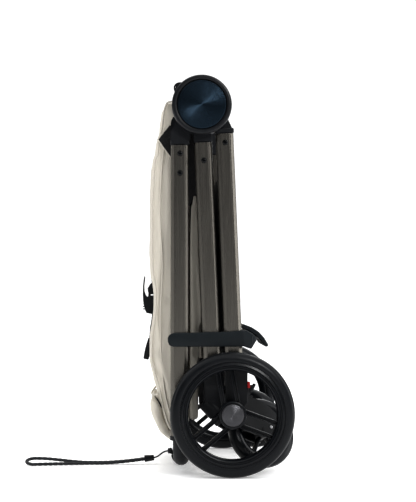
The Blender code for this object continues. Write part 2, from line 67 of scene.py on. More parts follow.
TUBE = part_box("handle_tube_left")
SHIFT_Y = (TUBE[0].y + TUBE[1].y) / 2 - 0.0196       # from distances ahead of the grip line to the model's Y
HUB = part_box("hub_cap_left")
HUB_Y, HUB_Z = (HUB[0].y + HUB[1].y) / 2, (HUB[0].z + HUB[1].z) / 2
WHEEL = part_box("rear_cap_left")
AXLE_Y, AXLE_Z = (WHEEL[0].y + WHEEL[1].y) / 2, (WHEEL[0].z + WHEEL[1].z) / 2
SIDES = (("left", 1), ("right", -1))
GRIP_AT = 22.8                                       # the grip's middle, ahead of the tubes' by its play
TURN = 6.2832                                        # one full wave of a shader pattern, in radians
STRAP_X = 37.0                                       # the strap's place across the stroller
FRONT_LEAN, REAR_LEAN = 2.38, 2.32                   # degrees that the folded legs lean
LEG_TOP = (59.6, 674.0)                              # the hub's axis in the drawing frame, in millimetres
CABIN_HALF = 176                                     # half the width of the fabric between the legs
CLOTH_LEVEL = 1                 # subdivision of the padded fabric
WORLD_DIM, WORLD_SEEN, FLOOR_GLOW = 0.24, 1.02, 0.24
LAMPS = (("left_softbox", (0.25, -2.4, 0.8), (0, -0.05, 0.4), 0.7, 2.0, 13.0),
         ("right_softbox", (0.3, 2.4, 0.9), (0, 0, 0.42), 0.8, 2.0, 27.0),
         ("front_softbox", (3.2, 1.4, 2.0), (0, 0, 0.5), 0.7, 0.7, 50.0),
         ("rear_softbox", (-2.4, 0.3, 1.6), (0, 0, 0.4), 1.6, 1.6, 20.0))
CAMERA_AT, CAMERA_LENS, CAMERA_YAW, CAMERA_PITCH = (2.775, SHIFT_Y, 0.3276), 100.8, 1.59, 1.79
MADE = {}


def at(x, y, z):
    """A place in metres from millimetres in the drawing frame."""
    return Vector((x / 1000, y / 1000 + SHIFT_Y, z / 1000))


def lying(place, axis):
    """The matrix that lays a shape turned about X at the origin along an axis through a place."""
    return Matrix.Translation(place) @ axis.to_track_quat("X", "Z").to_matrix().to_4x4()


def leaned(y, z, tilt):
    """A place on a leg that leans by tilt, from its own drawing (y out from the hub axis, z up from it)."""
    a = math.radians(tilt)
    return (LEG_TOP[0] + y * math.cos(a) - z * math.sin(a), LEG_TOP[1] + y * math.sin(a) + z * math.cos(a))


# ------------------------------------------------------------------ shader maths
class Number:
    """A shader socket that carries a number, so that maths on it reads as maths."""

    def __init__(self, finish, socket):
        self.finish, self.socket = finish, socket

    def _do(self, operation, one, two=None):
        node = self.finish.node("ShaderNodeMath", {"operation": operation})
        for slot, value in zip(node.inputs, (one, two)):
            if value is not None:
                self.finish.feed(slot, value)
        return Number(self.finish, node.outputs[0])

    def __add__(self, other):
        return self._do("ADD", self, other)

    def __sub__(self, other):
        return self._do("SUBTRACT", self, other)

    def __rsub__(self, other):
        return self._do("SUBTRACT", other, self)

    def __mul__(self, other):
        return self._do("MULTIPLY", self, other)

    def sine(self):
        return self._do("SINE", self)

    __radd__, __rmul__ = __add__, __mul__


class Finish:
    """One material and the few node patterns that its surface needs."""

    def __init__(self, name, roughness=0.5, metallic=0.0, specular=0.5, sheen=0.0):
        self.made = bpy.data.materials.new(name)
        self.made.use_nodes = True
        self.tree = self.made.node_tree
        self.shader = self.tree.nodes["Principled BSDF"]
        self.set("Roughness", roughness)
        self.set("Metallic", metallic)
        self.set("Specular IOR Level", specular)
        self.set("Sheen Weight", sheen)
        self.set("Sheen Roughness", 0.4)

    def feed(self, socket, value):
        """Links a number or a socket to this one, or sets a plain value on it."""
        if isinstance(value, Number):
            value = value.socket
        if isinstance(value, bpy.types.NodeSocket):
            self.tree.links.new(value, socket)
        else:
            socket.default_value = value

    def set(self, name, value):
        self.feed(self.shader.inputs[name], value)

    def node(self, kind, settings=(), **inputs):
        """A node of this kind: its settings first, then the values or links of its sockets."""
        node = self.tree.nodes.new(kind)
        for key, value in dict(settings).items():
            setattr(node, key, value)
        for key, value in inputs.items():
            self.feed(node.inputs[key.replace("_", " ")], value)
        return node

    def place(self, centre=(0, 0, 0), scale=(1, 1, 1)):
        """The surface's own coordinates, taken from a centre and scaled."""
        where = self.node("ShaderNodeTexCoord").outputs["Object"]
        moved = self.node("ShaderNodeVectorMath", {"operation": "SUBTRACT"})
        self.feed(moved.inputs[0], where)
        self.feed(moved.inputs[1], centre)
        return self.node("ShaderNodeMapping", Vector=moved.outputs[0], Scale=scale).outputs[0]

    def noise(self, scale, detail=2.0, where=None, rough=0.5):
        where = where or self.place()
        return Number(self, self.node("ShaderNodeTexNoise", Vector=where, Scale=scale, Detail=detail,
            Roughness=rough).outputs["Fac"])

    def cells(self, scale):
        made = self.node("ShaderNodeTexVoronoi", Vector=self.place(), Scale=scale)
        return Number(self, made.outputs["Distance"])

    def along(self, where, axis):
        return Number(self, self.node("ShaderNodeSeparateXYZ", Vector=where).outputs[axis])

    def radius(self, centre):
        """Distance from the line along X through centre."""
        where = self.place(centre, (0.0, 1.0, 1.0))
        made = self.node("ShaderNodeVectorMath", {"operation": "LENGTH"})
        self.feed(made.inputs[0], where)
        return Number(self, made.outputs["Value"])

    def mix(self, share, one, two):
        """A colour between two tones; inputs 6 and 7 are the node's colours, and output 2 its result."""
        made = self.node("ShaderNodeMix", {"data_type": "RGBA"}, Factor=share)
        for socket, colour in ((made.inputs[6], one), (made.inputs[7], two)):
            self.feed(socket, (*colour, 1))
        return made.outputs[2]

    def bump(self, height, strength, distance):
        made = self.node("ShaderNodeBump", Height=height, Strength=strength, Distance=distance)
        self.set("Normal", made.outputs[0])


def toned(tone, share):
    """A colour made lighter or darker by a share."""
    return tuple(share * c for c in tone)


def plastic(name, tone, roughness, grain=1500.0, depth=0.00004):
    """Moulded plastic: fine spark-eroded grain, faint handling shine."""
    finish = Finish(name, specular=0.24)
    cloudy = finish.noise(28.0, 4.0)
    finish.set("Base Color", finish.mix(cloudy, tone, toned(tone, 1.55)))
    finish.set("Roughness", roughness + (cloudy - 0.5) * 0.16)
    finish.bump(finish.noise(grain, 1.0), 0.35, depth)
    return finish.made


def anodised(name, tone):
    """Extruded tube, brushed along its length and anodised."""
    finish = Finish(name, metallic=1.0)
    lines = finish.noise(1.0, 3.0, finish.place((0, 0, 0), (700.0, 700.0, 9.0)), 0.6)
    cloudy = finish.noise(6.0, 3.0)
    share = lines * 0.75 + cloudy * 0.25
    finish.set("Base Color", finish.mix(share, toned(tone, 0.80), toned(tone, 1.25)))
    finish.set("Roughness", 0.2 + lines * 0.12)
    finish.bump(lines, 0.22, 0.00006)
    return finish.made


def turned_metal(name, tone, centre, pitch, roughness=0.28, depth=0.00012):
    """Metal turned on a lathe: fine rings round the line along X through centre."""
    finish = Finish(name, metallic=0.9)
    far = finish.radius(centre)
    rings = (far * (TURN / pitch)).sine() * 0.5 + 0.5
    uneven = finish.noise(1.0, 2.0, finish.place(centre, (0.0, 40.0, 40.0)))
    finish.set("Base Color", finish.mix(rings * 0.6 + uneven * 0.4, toned(tone, 0.7), toned(tone, 1.3)))
    finish.set("Roughness", roughness + uneven * 0.08)
    finish.bump(rings, 0.7, depth)
    return finish.made


def rubber(name, tone, roughness):
    """Foam tyre: a dull, slightly cloudy skin."""
    finish = Finish(name, specular=0.26)
    cloudy = finish.noise(45.0, 5.0)
    finish.set("Base Color", finish.mix(cloudy, tone, toned(tone, 1.8)))
    finish.set("Roughness", roughness + (cloudy - 0.5) * 0.2)
    finish.bump(finish.noise(900.0, 2.0), 0.3, 0.00008)
    return finish.made


def leatherette(name, tone):
    """Stitched grip cover: pores and soft creases."""
    finish = Finish(name, specular=0.3)
    pores = finish.cells(620.0)
    creases = finish.noise(180.0, 3.0)
    finish.set("Base Color", finish.mix(creases, tone, toned(tone, 2.0)))
    finish.set("Roughness", 0.42 + creases * 0.2)
    finish.bump(pores * 0.7 + creases * 0.6, 0.6, 0.00025)
    return finish.made


def woven(name, light, dark, pitch, bump=0.00012, sheen=0.12):
    """Plain weave: threads both ways, slubs, and broad tone changes as on handled cloth."""
    finish = Finish(name, roughness=0.86, specular=0.22, sheen=sheen)
    where = finish.place()
    turn = TURN / pitch
    across = (finish.along(where, "X") * turn + finish.along(where, "Y") * turn).sine()
    up = (finish.along(where, "Z") * turn).sine()
    weave = (across * up) * 0.5 + 0.5
    slub = finish.noise(1.0, 2.0, finish.place((0, 0, 0), (260.0, 260.0, 1400.0)))
    broad = finish.noise(9.0, 4.0)
    tone = finish.mix(weave * 0.35 + slub * 0.3 + broad * 0.35, dark, light)
    finish.set("Base Color", tone)
    finish.set("Roughness", 0.8 + slub * 0.15)
    finish.bump(weave * 0.6 + slub * 0.5, 0.55, bump)
    return finish.made


def netting(name, tone, pitch):
    """Warp-knit net: small round openings in a dark ground."""
    finish = Finish(name, roughness=0.7, specular=0.25, sheen=0.05)
    holes = finish.cells(1.0 / pitch)
    finish.set("Base Color", finish.mix(holes, toned(tone, 0.35), toned(tone, 1.9)))
    finish.bump(holes, 0.8, 0.0006)
    return finish.made


def braided(name, tone, pitch):
    """Braided polyester cord: crossing bundles of thread."""
    finish = Finish(name, roughness=0.6, specular=0.4, sheen=0.1)
    where = finish.place()
    turn = TURN / pitch
    one = (finish.along(where, "Y") * turn + finish.along(where, "X") * turn).sine()
    two = (finish.along(where, "Y") * turn - finish.along(where, "X") * turn).sine()
    bundles = (one * two) * 0.5 + 0.5
    finish.set("Base Color", finish.mix(bundles, toned(tone, 0.5), toned(tone, 2.6)))
    finish.bump(bundles, 0.9, 0.0006)
    return finish.made


def finishes():
    """Every finish of the stroller, made once."""
    if MADE:
        return MADE
    look = bpy.context.scene.stroller_look
    hub = (0.0, HUB_Y, HUB_Z)
    wheel = (0.0, AXLE_Y, AXLE_Z)
    beige = tuple(look.fabric_colour)
    MADE.update(
        tube=anodised("bronze_tube", tuple(look.tube_colour)),
        black=plastic("black_moulding", (0.0036, 0.0044, 0.0062), 0.42),
        ring=plastic("hub_ring_black", (0.0065, 0.0073, 0.009), 0.34, 1100.0),
        bail=plastic("latch_black", (0.0058, 0.0088, 0.011), 0.42),
        cap=turned_metal("hub_cap_navy", (0.010, 0.019, 0.029), hub, 0.0011, 0.22, 0.00016),
        rear_cap=turned_metal("axle_cap_grey", (0.075, 0.075, 0.08), wheel, 0.0008, 0.26, 0.00012),
        tyre=rubber("tyre_rubber", (0.0018, 0.0025, 0.0038), 0.34),
        fork=plastic("fork_satin", (0.010, 0.0105, 0.0115), 0.36),
        rim=plastic("rim_satin", (0.0022, 0.003, 0.0045), 0.3, 1300.0),
        grip=leatherette("grip_leatherette", (0.0016, 0.0022, 0.0036)),
        beige=woven("cabin_fabric", beige, toned(beige, 0.80), 0.0011),
        beige_edge=woven("binding_tape", toned(beige, 0.97), toned(beige, 0.72), 0.0008),
        # bellows fabric: the cabin beige darkened to 0.56 and 0.38 of it, painted shade for the fabric set
        # back between the tubes
        shade=woven("bellows_fabric_painted_shade", toned(beige, 0.56), toned(beige, 0.38), 0.0011),
        # front panel and basket flap fabric: the cabin beige darkened to 0.46 and 0.33 of it, painted shade
        # for fabric inside the frame
        taupe=woven("inner_fabric_painted_shade", toned(beige, 0.46), toned(beige, 0.33), 0.0011),
        net=netting("black_net", (0.012, 0.012, 0.013), 0.0022),
        cord=braided("strap_braid", (0.007, 0.008, 0.010), 0.0034),
        webbing=woven("black_webbing", (0.022, 0.023, 0.025), (0.008, 0.008, 0.009), 0.0016, 0.0003, 0.05),
        screw=plastic("screw_black", (0.0008, 0.0012, 0.0018), 0.14, 900.0, 0.00001),
        pedal=plastic("pedal_grey", (0.02, 0.021, 0.023), 0.4),
        red=plastic("pedal_mark_red", (0.42, 0.02, 0.02), 0.4),
        steel=turned_metal("bare_steel", (0.4, 0.4, 0.41), hub, 0.003, 0.3, 0.00002),
    )
    return MADE


# ------------------------------------------------------------------ shaping helpers
def finished(bm, name, look, body=None, stands_for=(), smooth=35.0, subdivide=0):
    """A mesh object from bm with one finish, smooth but for edges sharper than the angle."""
    data = bpy.data.meshes.new(name)
    bm.to_mesh(data)
    bm.free()
    obj = bpy.data.objects.new(name, data)
    bpy.context.scene.collection.objects.link(obj)
    data.materials.append(look)
    dress(obj, body, stands_for, smooth, subdivide)
    return obj


def dress(obj, body, stands_for=(), smooth=35.0, subdivide=0):
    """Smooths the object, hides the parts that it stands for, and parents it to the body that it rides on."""
    if smooth:
        for face in obj.data.polygons:
            face.use_smooth = True
        obj.data.set_sharp_from_angle(angle=math.radians(smooth))
    if subdivide:
        mod = obj.modifiers.new("Subdivision", "SUBSURF")
        mod.levels = mod.render_levels = subdivide
    if stands_for:
        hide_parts(*stands_for)
    if body:
        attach(obj, body)


def cleaned(bm):
    """One closed skin that faces out."""
    bmesh.ops.remove_doubles(bm, verts=bm.verts[:], dist=1e-6)
    bmesh.ops.recalc_face_normals(bm, faces=bm.faces[:])
    return bm


def both_ways(half, middle=0.0, crown=()):
    """A profile alike on both sides of its middle, from half of it as (distance, radius)."""
    return [(middle - d, r) for d, r in half] + [*crown] + [(middle + d, r) for d, r in reversed(half)]


def turned(profile, y, z, steps=96, ring=False):
    """A profile of (x, radius) millimetre points spun about the line along X through (y, z) in metres."""
    bm = bmesh.new()
    verts = [bm.verts.new((px / 1000, y + r / 1000, z)) for px, r in profile]
    edges = [bm.edges.new(pair) for pair in zip(verts, verts[1:])]
    if ring:
        edges.append(bm.edges.new((verts[-1], verts[0])))
    bmesh.ops.spin(bm, geom=verts + edges, cent=(0, y, z), axis=(1, 0, 0), angle=2 * math.pi, steps=steps,
        use_merge=True)
    return cleaned(bm)


def drawn(outline, low, high, stations=1, bulge=0.0):
    """An outline of (y, z) millimetres drawn across the stroller in even steps; bulge rounds its two ends."""
    bm = bmesh.new()
    face = bm.faces.new([bm.verts.new(at(low, y, z)) for y, z in outline])
    centre = sum((v.co for v in face.verts), Vector()) / len(face.verts)
    xs = [low + (high - low) * k / stations for k in range(stations + 1)]
    if bulge:
        inset = [0.0, 3.0, 8.0, 16.0]
        between = [x for x in xs if low + 17 < x < high - 17]
        xs = [low + d for d in inset] + between + [high - d for d in inset[::-1]]
    last, before = face, xs[0]
    for x in xs[1:]:
        grown = bmesh.ops.extrude_face_region(bm, geom=[last])
        verts = [g for g in grown["geom"] if isinstance(g, bmesh.types.BMVert)]
        bmesh.ops.translate(bm, vec=((x - before) / 1000, 0, 0), verts=verts)
        if last is not face:
            bm.faces.remove(last)
        last = next(g for g in grown["geom"] if isinstance(g, bmesh.types.BMFace))
        before = x
    if bulge:
        for v in bm.verts:
            edge = min(v.co.x * 1000 - low, high - v.co.x * 1000)
            if edge < 16.0:
                pull = bulge * (1 - math.sqrt(max(0.0, 1 - (1 - edge / 16.0) ** 2)))
                toward = (centre - v.co) * Vector((0, 1, 1))
                if toward.length > 1e-6:
                    v.co += toward.normalized() * min(pull / 1000, toward.length * 0.4)
    return cleaned(bm)


def block(x0, x1, y0, y1, z0, z1, soft=0.0, segments=3):
    """A box in millimetres with rounded edges."""
    bm = bmesh.new()
    bmesh.ops.create_cube(bm, size=1.0)
    low, high = at(x0, y0, z0), at(x1, y1, z1)
    bmesh.ops.scale(bm, vec=high - low, verts=bm.verts[:])
    bmesh.ops.translate(bm, vec=(low + high) / 2, verts=bm.verts[:])
    if soft:
        bmesh.ops.bevel(bm, geom=bm.edges[:], offset=soft / 1000, segments=segments, profile=0.5,
            affect="EDGES", material=-1)
    return bm


def joined(*shapes):
    """Several shapes as one mesh."""
    whole = bmesh.new()
    for bm in shapes:
        data = bpy.data.meshes.new("part")
        bm.to_mesh(data)
        bm.free()
        whole.from_mesh(data)
        bpy.data.meshes.remove(data)
    return whole


def moved(bm, vec):
    """Slides the shape by metres."""
    bmesh.ops.translate(bm, vec=vec, verts=bm.verts[:])


def rolled(bm, degrees, axis="X"):
    """Turns the shape about an axis through the origin."""
    bmesh.ops.rotate(bm, cent=(0, 0, 0), matrix=Matrix.Rotation(math.radians(degrees), 3, axis),
        verts=bm.verts[:])


def softened(bm, sharper, by):
    """Rounds, by so many metres, the edges that turn more than an angle in radians."""
    bmesh.ops.bevel(bm, geom=[e for e in bm.edges if e.calc_face_angle(0) > sharper], offset=by, segments=3,
        profile=0.5, affect="EDGES", material=-1)


def scored(bm, y):
    """A line of edges round the shape at y millimetres, so that it can fold there."""
    bmesh.ops.bisect_plane(bm, geom=bm.verts[:] + bm.edges[:] + bm.faces[:], plane_co=at(0, y, 0),
        plane_no=(0, 1, 0))


def mirrored(bm, side):
    """The shape for the left side as it is, or turned into the right side's."""
    if side < 0:
        bmesh.ops.scale(bm, vec=(-1, 1, 1), verts=bm.verts[:])
        bmesh.ops.reverse_faces(bm, faces=bm.faces[:])
    return bm


def applied(obj):
    """Turns the object's modifiers into plain mesh."""
    graph = bpy.context.evaluated_depsgraph_get()
    data = bpy.data.meshes.new_from_object(obj.evaluated_get(graph))
    obj.modifiers.clear()
    old, obj.data = obj.data, data
    bpy.data.meshes.remove(old)


def remeshed(obj, size):
    """Even facets of size millimetres, fine enough to crease."""
    mod = obj.modifiers.new("Remesh", "REMESH")
    mod.mode, mod.voxel_size = "VOXEL", size / 1000
    applied(obj)


def padded_out(obj, pressure, frames, cap):
    """Lets the cloth swell under a little air, then keeps the shape that it took."""
    rest = [v.co.copy() for v in obj.data.vertices]
    mod = obj.modifiers.new("Cloth", "CLOTH")
    mod.settings.use_pressure = True
    mod.settings.uniform_pressure_force = pressure
    mod.settings.effector_weights.gravity = 0.0
    mod.settings.quality = 4
    mod.settings.tension_stiffness = mod.settings.compression_stiffness = 12.0
    mod.settings.bending_stiffness = 0.6
    mod.point_cache.frame_start, mod.point_cache.frame_end = 1, frames
    scene = bpy.context.scene
    for f in range(1, frames + 1):
        scene.frame_set(f)
    applied(obj)
    scene.frame_set(1)
    for v, was in zip(obj.data.vertices, rest):
        move = v.co - was
        if move.length > cap / 1000:
            v.co = was + move.normalized() * cap / 1000


def creased(obj, stretch, height, seed=0.0, keep=None):
    """Wrinkles: folded noise pushed along each point's normal. stretch is waves per metre on each axis."""
    normals = [v.normal.copy() for v in obj.data.vertices]
    for v, n in zip(obj.data.vertices, normals):
        p = Vector((v.co.x * stretch[0] + seed, v.co.y * stretch[1], v.co.z * stretch[2]))
        warp = noise.noise(p * 0.6 + Vector((7.1, 3.3, 1.7)))
        fold = 1.0 - 2.0 * abs(noise.noise(p + Vector((0, 0, warp))))
        amount = height / 1000 * (fold - 0.55) + height / 2500 * noise.noise(p * 3.1)
        if keep:
            amount *= keep(v.co)
        v.co += n * amount


def rounded_path(points, steps=6):
    """A smooth open path through the points."""
    out = []
    for i in range(len(points) - 1):
        p0, p1 = Vector(points[max(i - 1, 0)]), Vector(points[i])
        p2, p3 = Vector(points[i + 1]), Vector(points[min(i + 2, len(points) - 1)])
        for k in range(steps):
            t = k / steps
            out.append(0.5 * (2 * p1 + (p2 - p0) * t + (2 * p0 - 5 * p1 + 4 * p2 - p3) * t * t
                + (3 * p1 - p0 - 3 * p2 + p3) * t ** 3))
    out.append(Vector(points[-1]))
    return out


def run_of(name, points, radius, look, sides=3, thin=None, as_mesh=True, closed=False):
    """A round run of cord, tape or bar along points in metres; thin gives a radius share for each point."""
    data = bpy.data.curves.new(name, "CURVE")
    data.dimensions = "3D"
    spline = data.splines.new("POLY")
    spline.points.add(len(points) - 1)
    for i, (point, p) in enumerate(zip(spline.points, points)):
        point.co = (*p, 1)
        point.radius = thin(i) if thin else 1.0
    spline.use_cyclic_u = closed
    spline.use_smooth = True
    data.bevel_depth = radius / 1000
    data.bevel_resolution = sides
    data.use_fill_caps = True
    data.materials.append(look)
    obj = bpy.data.objects.new(name, data)
    bpy.context.scene.collection.objects.link(obj)
    if as_mesh:
        graph = bpy.context.evaluated_depsgraph_get()
        mesh = bpy.data.meshes.new_from_object(obj.evaluated_get(graph))
        bpy.data.objects.remove(obj)
        obj = bpy.data.objects.new(name, mesh)
        bpy.context.scene.collection.objects.link(obj)
    return obj


def trim(name, way, radius, look, body="handle", sides=2, thin=None, closed=False):
    """Piping, tape, hem or thread along points in metres."""
    dress(run_of(name, way, radius, look, sides, thin, closed=closed), body, (), 60.0)


def sewn(name, outline, half, look, stations, bulge, facet):
    """A cloth piece drawn across the stroller from -half to half, with even facets."""
    obj = finished(drawn(outline, -half, half, stations, bulge), name, look, smooth=None)
    remeshed(obj, facet)
    return obj


def laid_on(name, points, lift):
    """Points (x, z) moved onto the front of the named piece, and lift millimetres clear of it."""
    tree = BVHTree.FromObject(bpy.data.objects[name], bpy.context.evaluated_depsgraph_get())
    out = []
    for x, z in points:
        hit = tree.ray_cast(Vector((x / 1000, -1.0, z / 1000)), Vector((0, 1, 0)))[0]
        if hit:
            out.append(Vector((hit.x, hit.y - lift / 1000, hit.z)))
    return out


def every_other(i):
    """Every second point thinner, as thread and zip teeth are."""
    return 1.0 if i % 2 else 0.7


def ribbon(points, wide, thick):
    """A flat band of webbing along points in metres, wide across the stroller."""
    bm = bmesh.new()
    section = ((-1, 0.2), (-0.94, 1), (0.94, 1), (1, 0.2), (0.94, -0.4), (-0.94, -0.4))
    rows = [[bm.verts.new(p + Vector((dx * wide / 2000, dy * thick / 1000, 0))) for dx, dy in section]
        for p in points]
    for a, b in zip(rows, rows[1:]):
        for k in range(6):
            bm.faces.new((a[k], a[(k + 1) % 6], b[(k + 1) % 6], b[k]))
    bm.faces.new(rows[0])
    bm.faces.new(rows[-1])
    bmesh.ops.recalc_face_normals(bm, faces=bm.faces[:])
    return bm


# ------------------------------------------------------------------ settings
class StrollerLook(bpy.types.PropertyGroup):
    """Sizes and colours a user would change."""
    fabric_colour: bpy.props.FloatVectorProperty(name="Fabric", description="Colour of the cabin fabric",
        default=(0.655, 0.618, 0.548), subtype="COLOR", min=0, max=1)
    tube_colour: bpy.props.FloatVectorProperty(name="Tubes", description="Colour of the anodised tubes",
        default=(0.122, 0.115, 0.103), subtype="COLOR", min=0, max=1)
    piping: bpy.props.FloatProperty(name="Piping",
        description="Radius of the piping on the seams, in millimetres", default=1.7, min=0.5, max=4.0)
    wrinkle: bpy.props.FloatProperty(name="Wrinkles",
        description="Height of the folds in the fabric, in millimetres", default=2.6, min=0.0, max=8.0)
    screw_radius: bpy.props.FloatProperty(name="Screws",
        description="Radius of the screw heads, in millimetres", default=5.3, min=2.0, max=8.0)


# ------------------------------------------------------------------ pieces
class STROLLER_OT_strap(bpy.types.Operator):
    """Wrist strap: knot on the grip, thin cord, ferrule and a braided loop that lies on the floor"""
    bl_idname = "stroller.strap"
    bl_label = "Wrist strap"

    def execute(self, context):
        look = finishes()
        out_way, back_way = [], []
        for k in range(14):
            t = k / 13
            y = -45.0 + (-257.75 + 45.0) * t
            wave, half = 2.2 * math.sin(6.0 * t) * t + 14.0 * t ** 1.3, 3.6 + 11.4 * t ** 1.6
            low = 3.5 + 7.0 * max(0.0, 1 - 2.6 * t) ** 1.6
            rise = max(0.0, (t - 0.5) / 0.5)
            out_way.append((STRAP_X + wave + half, y, low))
            back_way.append((STRAP_X + wave - half, y, low + 8.0 * rise * rise * (3 - 2 * rise)))
        middle, wide = (out_way[-1][0] + back_way[-1][0]) / 2, (out_way[-1][0] - back_way[-1][0]) / 2
        bend = [(middle + wide * math.cos(a), out_way[-1][1] - 15.5 * math.sin(a),
            3.5 + 4.0 * (1 - math.cos(a))) for a in (math.radians(v) for v in range(15, 180, 15))]
        route = rounded_path([at(*p) for p in out_way + bend + back_way[::-1]], 5)
        loop = run_of("wrist_loop", route, 3.2, look["cord"], 4, lambda i: 1.0 if i % 3 else 0.86,
            as_mesh=False)
        dress(loop, "handle", ("strap_loop",), smooth=None)
        thin_points = [at(*p) for p in ((STRAP_X, 2.2, 25.8), (STRAP_X, -3.4, 25.2), (37.3, -9.0, 23.6),
            (STRAP_X, -15.0, 20.0), (36.7, -21.0, 15.2), (STRAP_X, -28.0, 12.6), (STRAP_X, -33.0, 12.2))]
        route_thin = rounded_path(thin_points, 4)
        thin = run_of("strap_cord_thin", route_thin, 1.5, look["cord"], 3, None, as_mesh=False)
        dress(thin, "handle", ("strap_cord",), smooth=None)
        # the knot: one cord wound three times round itself, then once round the grip
        turns = []
        for k in range(52):
            a = 2 * math.pi * k / 12
            s = k / 51 - 0.5
            r = 3.9 * math.sqrt(max(0.25, 1 - (2 * s) ** 2 * 0.7))
            turns.append(at(STRAP_X + r * math.cos(a), 2.4 + r * math.sin(a) * 0.9,
                25.4 + 8.5 * s + 0.9 * math.sin(2 * a)))
        for k in range(25):
            a = math.pi - 2 * math.pi * k / 24
            turns.append(at(STRAP_X + 1.2 * math.sin(a), GRIP_AT + 16.4 * math.cos(a),
                17.6 + 15.9 * math.sin(a)))
        knot = run_of("strap_knot_wound", turns, 1.65, look["cord"], 3)
        dress(knot, "handle", ("strap_knot",), 60.0)
        nose, tail = at(STRAP_X, -47.0, 10.6), at(STRAP_X, -28.6, 12.4)
        sleeve = bmesh.new()
        along = (nose - tail).to_track_quat("Z", "Y").to_matrix().to_4x4()
        lie = Matrix.Translation((nose + tail) / 2) @ along
        bmesh.ops.create_cone(sleeve, cap_ends=True, segments=48, radius1=0.0052, radius2=0.0068,
            depth=(nose - tail).length, matrix=lie)
        softened(sleeve, 0.8, 0.0008)
        ferrule = finished(sleeve, "strap_ferrule_sleeve", look["black"], "handle", ("strap_ferrule",))
        length = sum((b - a).length for a, b in zip(route, route[1:]))
        tuple(at(STRAP_X, -45.0, 10.6))
        short = sum((b - a).length for a, b in zip(route_thin, route_thin[1:]))
        tuple(at(STRAP_X, -2.0, 25.4))
        return {"FINISHED"}


class STROLLER_OT_frame(bpy.types.Operator):
    """Finishes on the carried-over tubes, knuckles, housings, forks, latch and pedals"""
    bl_idname = "stroller.frame"
    bl_label = "Frame finishes"

    def execute(self, context):
        look = finishes()
        kinds = (("handle_tube", "tube"), ("front_leg", "tube"), ("rear_leg", "tube"),
            ("hub_axle_bar", "steel"), ("brake_pedal", "pedal"), ("latch", "bail"), ("caster_fork", "fork"))
        for name, obj in frame["nodes"].items():
            kind = next((k for start, k in kinds if name.startswith(start)), "black")
            obj.data.materials.clear()
            obj.data.materials.append(look[kind])
            if kind != "tube":
                for face in obj.data.polygons:
                    face.use_smooth = False
        return {"FINISHED"}


class STROLLER_OT_latch(bpy.types.Operator):
    """Latch bail: rounded arms that fold inward into the lever behind the tubes"""
    bl_idname = "stroller.latch"
    bl_label = "Latch"

    def execute(self, context):
        look = finishes()
        outline = [(-2.2, 249.5), (-2.2, 243.0), (0.2, 237.0), (4.4, 234.0), (10.0, 233.4), (60.0, 233.4),
            (126.0, 233.6), (136.0, 234.0), (144.0, 231.0), (150.5, 229.2), (154.0, 235.0), (160.0, 244.5),
            (159.0, 251.0), (152.0, 257.5), (142.0, 262.8), (134.0, 264.0), (124.0, 262.0), (110.0, 260.8),
            (60.0, 259.6), (10.0, 258.4), (4.4, 257.4), (0.2, 254.2)]
        bend_at, inward = 137.0, 0.42                  # where the arm starts to bend inward, and how steeply
        for tag, side in SIDES:
            plate = drawn(outline, 208.9, 216.6, 1)
            softened(plate, 1.2, 0.0016)
            scored(plate, bend_at)
            scored(plate, 126.0)
            for v in plate.verts:
                v.co.x -= inward * max(0.0, v.co.y - at(0, bend_at, 0).y)
            finished(mirrored(plate, side), f"latch_arm_plate_{tag}", look["bail"], "latch",
                (f"latch_arm_{tag}",), 30.0)
        return {"FINISHED"}


class STROLLER_OT_screws(bpy.types.Operator):
    """Button-head screws that hold the knuckles in the tubes"""
    bl_idname = "stroller.screws"
    bl_label = "Tube screws"

    def execute(self, context):
        props, look = context.scene.stroller_look, finishes()
        r = props.screw_radius
        places = [(20.2, 586.7, "handle"), (20.2, 550.8, "handle"), (63.8, 574.0, "front_frame"),
            (102.8, 607.0, "rear_frame")]
        for tag, side in SIDES:
            for i, (y, z, body) in enumerate(places):
                where = at(0, y, z)
                head = turned([(206.6, 0.0), (206.6, r), (208.2, r), (209.0, r * 0.93), (209.9, r * 0.76),
                    (210.4, r * 0.52), (210.4, r * 0.44), (208.6, r * 0.40), (208.6, 0.0)], where.y,
                    where.z, 40)
                finished(mirrored(head, side), f"screw_{body}_{i}_{tag}", look["screw"], body)
            fork = BVHTree.FromObject(frame["nodes"][f"caster_fork_{tag}"],
                bpy.context.evaluated_depsgraph_get())
            start = at(side * 600.0, 189.0, 83.5)
            hit, normal = fork.ray_cast(start, Vector((-side, 0, 0)))[:2]
            if hit is None:
                raise RuntimeError(f"the ray for fork_bolt_{tag} meets no fork")
            bolt = turned([(-0.6, 0.0), (-0.6, 3.0), (0.7, 3.0), (1.3, 2.5), (1.5, 1.6), (0.9, 1.3),
                (0.9, 0.0)], 0, 0, 32)
            bmesh.ops.transform(bolt, verts=bolt.verts[:], matrix=lying(hit, normal))
            finished(bolt, f"fork_bolt_{tag}", look["steel"], f"caster_{tag}")
        return {"FINISHED"}


class STROLLER_OT_pedals(bpy.types.Operator):
    """Red marks on the brake pedals"""
    bl_idname = "stroller.pedals"
    bl_label = "Pedal marks"

    def execute(self, context):
        look = finishes()
        for tag, side in SIDES:
            mark = block(209.0, 222.4, 142.5, 147.5, 158.5, 170.0, 1.2)
            finished(mirrored(mark, side), f"pedal_mark_{tag}", look["red"], f"brake_pedal_{tag}")
        return {"FINISHED"}


